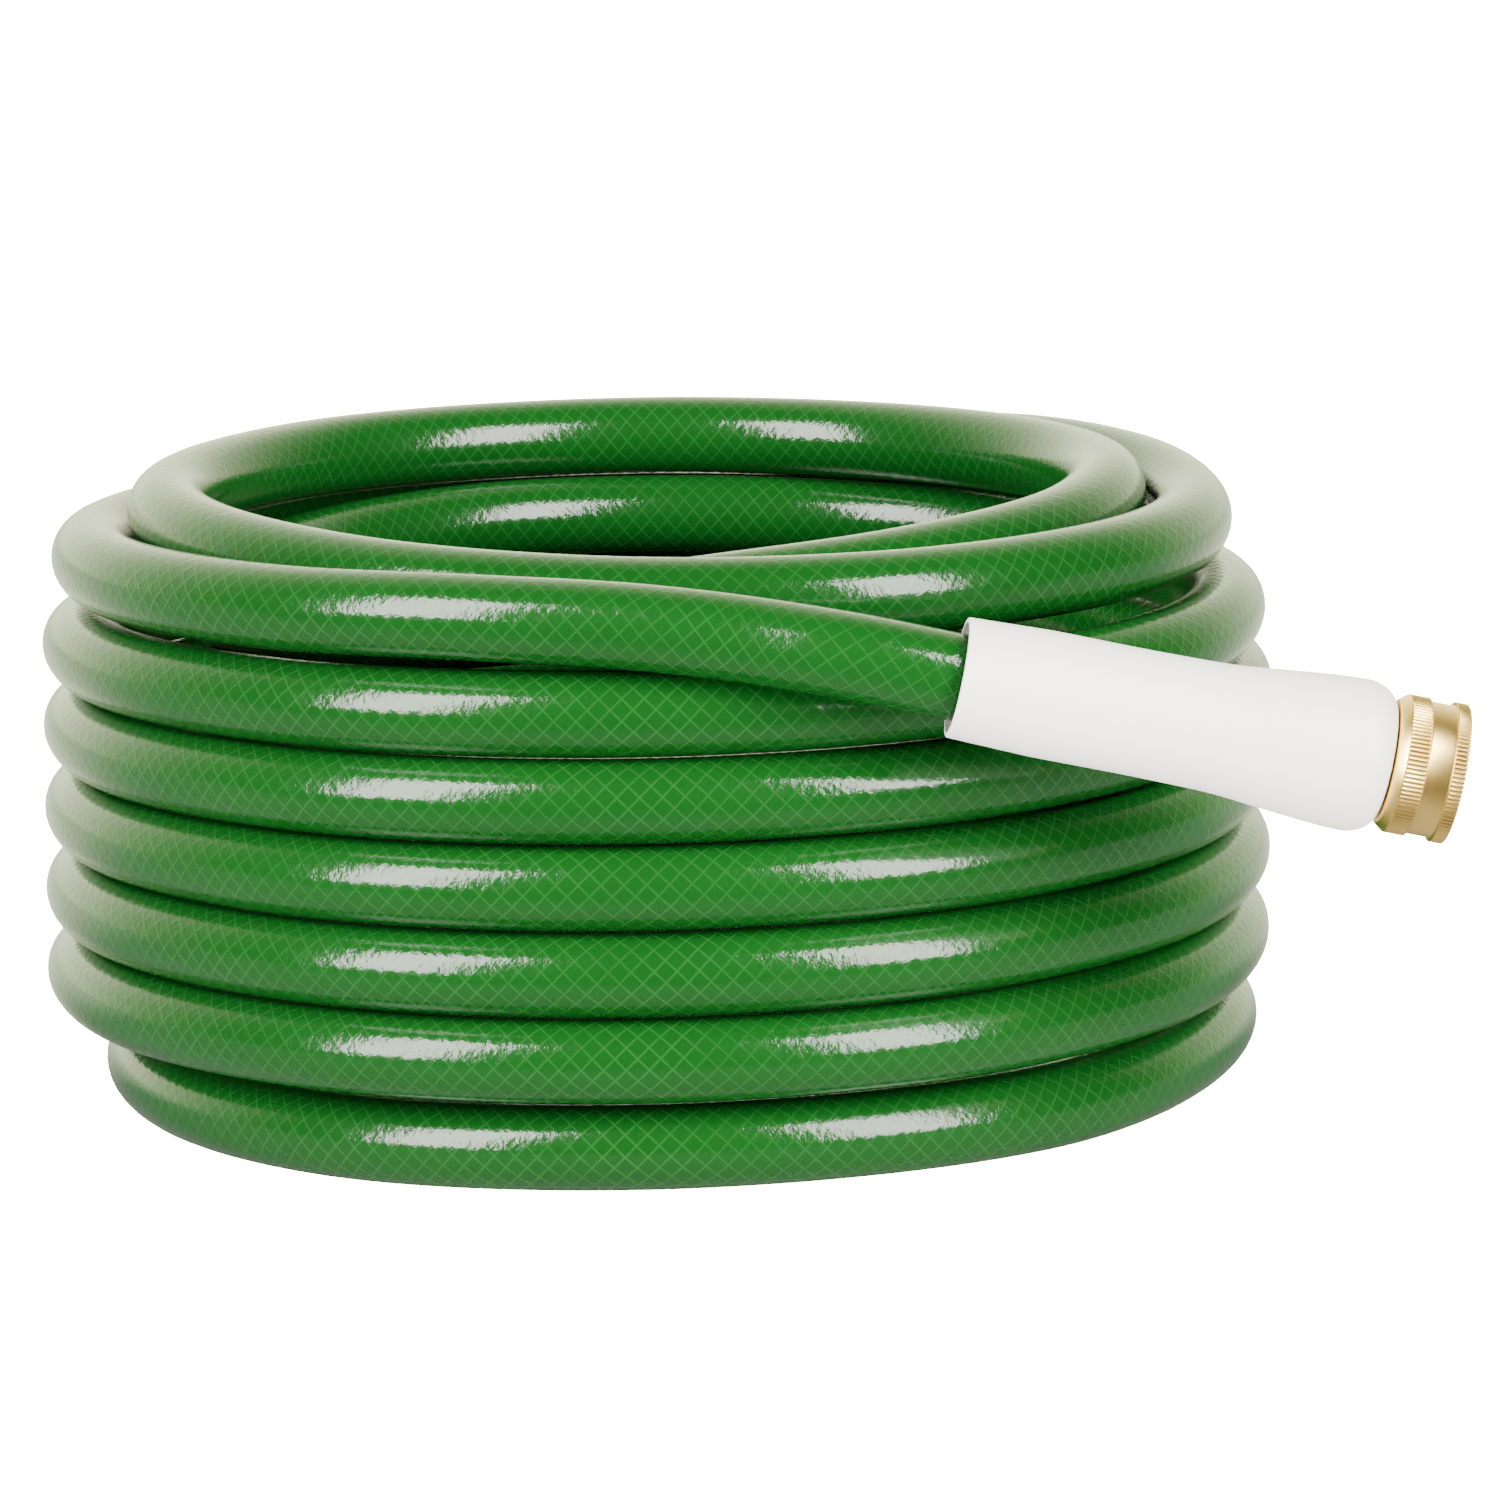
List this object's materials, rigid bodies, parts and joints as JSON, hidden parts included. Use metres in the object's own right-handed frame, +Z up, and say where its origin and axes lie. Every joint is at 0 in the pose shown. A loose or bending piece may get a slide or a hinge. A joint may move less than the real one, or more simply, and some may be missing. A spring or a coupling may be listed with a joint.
{
  "type": "garden hose",
  "caption": "Braid-reinforced garden hose in an upright round coil, with a brass swivel nut and a moulded collar at its free end and a threaded brass end inside the coil.",
  "frame": {"origin": "centre of the bounding box's underside, on the floor that the coil stands on", "axes": "+Z up along the coil's axis, +X to the right in the picture's view, towards the free end's nut, +Y away from the camera"},
  "size_m": [0.3454, 0.3266, 0.1638],
  "materials": {
    "green_hose": "gloss, with a faint woven relief",
    "white_collar": "satin",
    "brass": "satin",
    "black_rubber": "matte"
  },
  "bodies": {
    "hose_body": {"hose": "green_hose", "female_sleeve": "white_collar", "female_stem": "brass", "male_sleeve": "white_collar", "male_fitting": "brass"},
    "coupling_nut": {"swivel_nut": "brass", "washer": "black_rubber"}
  },
  "joints": [
    {"name": "nut_swivel", "type": "hinge", "parent": "hose_body", "child": "coupling_nut", "pos_m": [0.16051, -0.14442, 0.11161], "axis": [0.9786, 0.0427, -0.2011], "continuous": true}
  ]
}
